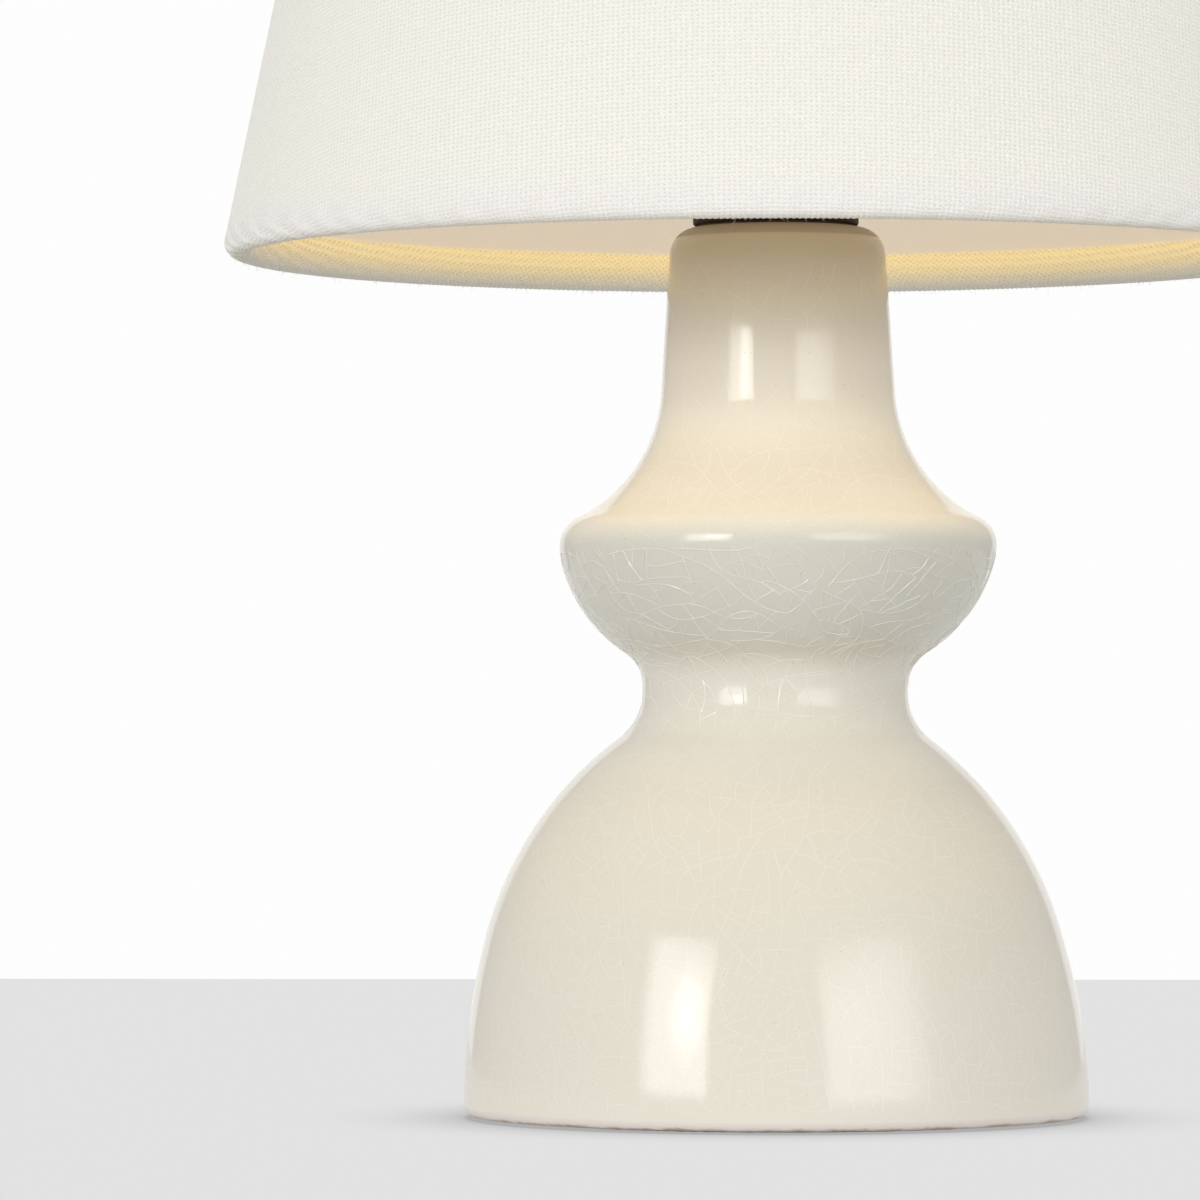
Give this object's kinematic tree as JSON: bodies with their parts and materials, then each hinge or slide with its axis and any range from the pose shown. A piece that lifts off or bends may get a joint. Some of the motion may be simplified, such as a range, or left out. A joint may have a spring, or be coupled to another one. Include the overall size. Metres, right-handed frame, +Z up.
{
  "type": "cordless table lamp",
  "caption": "Cordless table lamp: hollow turned ceramic body with crackle glaze, battery and charging socket in the foot, opal light, and a tapered woven shade held by a finial.",
  "frame": {"origin": "on the table under the middle of the foot", "axes": "+Z up along the lamp's axis, the front towards -Y, the socket and the button near +Y under the foot"},
  "size_m": [0.178, 0.178, 0.2772],
  "materials": {
    "crackle_glaze": "gloss",
    "felt": "matte",
    "plate_plastic": "matte",
    "zinc_steel": "satin",
    "cell_wrap": "satin",
    "cradle_plastic": "matte",
    "nickel": "satin",
    "circuit_board": "satin",
    "chip_black": "satin",
    "button_plastic": "satin",
    "clear_plastic": "gloss",
    "wire_red": "satin",
    "wire_white": "satin",
    "nylon": "satin",
    "dark_bronze": "satin",
    "housing_metal": "satin",
    "light_board_white": "matte",
    "light_chip": "satin",
    "opal": "satin",
    "shade_linen": "matte",
    "lining_sheet": "matte",
    "white_wire": "satin"
  },
  "bodies": {
    "base": {"ceramic_body": "crackle_glaze", "foot_pad": "felt", "base_plate": "plate_plastic", "centre_tube": "zinc_steel", "tube_washer": "zinc_steel", "tube_nut": "zinc_steel", "battery_cell_front": "cell_wrap", "battery_cell_rear": "cell_wrap", "battery_cradle": "cradle_plastic", "cradle_screws": "zinc_steel", "cell_tabs": "nickel", "control_board": "circuit_board", "board_screws": "zinc_steel", "board_parts": "chip_black", "charge_socket": "nickel", "charge_tongue": "chip_black", "switch_case": "chip_black", "charge_light_pipe": "clear_plastic", "battery_leads": "wire_red", "light_leads": "wire_white", "neck_gasket": "nylon", "neck_cap": "dark_bronze", "light_housing": "housing_metal", "light_board": "light_board_white", "light_chips": "light_chip", "light_screws": "zinc_steel", "diffuser": "opal", "shade_post": "dark_bronze"},
    "button": {"power_button": "button_plastic"},
    "shade_seat": {"shade_washer": "nylon"},
    "shade": {"shade_frame": "white_wire", "shade_bottom_ring": "white_wire", "shade_lining": "lining_sheet", "shade_cloth": "shade_linen"},
    "finial": {"finial": "dark_bronze"}
  },
  "joints": [
    {"name": "shade_swivel", "type": "hinge", "parent": "base", "child": "shade_seat", "pos_m": [0, 0, 0.2549], "axis": [0, 0, 1], "continuous": true},
    {"name": "shade_lift", "type": "slide", "parent": "shade_seat", "child": "shade", "axis": [0, 0, 1], "range_m": [0, 0.14]},
    {"name": "finial_turn", "type": "hinge", "parent": "shade", "child": "finial", "pos_m": [0, 0, 0.257], "axis": [0, 0, 1], "continuous": true},
    {"name": "power_button_press", "type": "slide", "parent": "base", "child": "button", "axis": [0, 0, 1], "range_m": [0, 0.001], "stiffness_N_per_m": 300, "springref_m": -0.002}
  ]
}
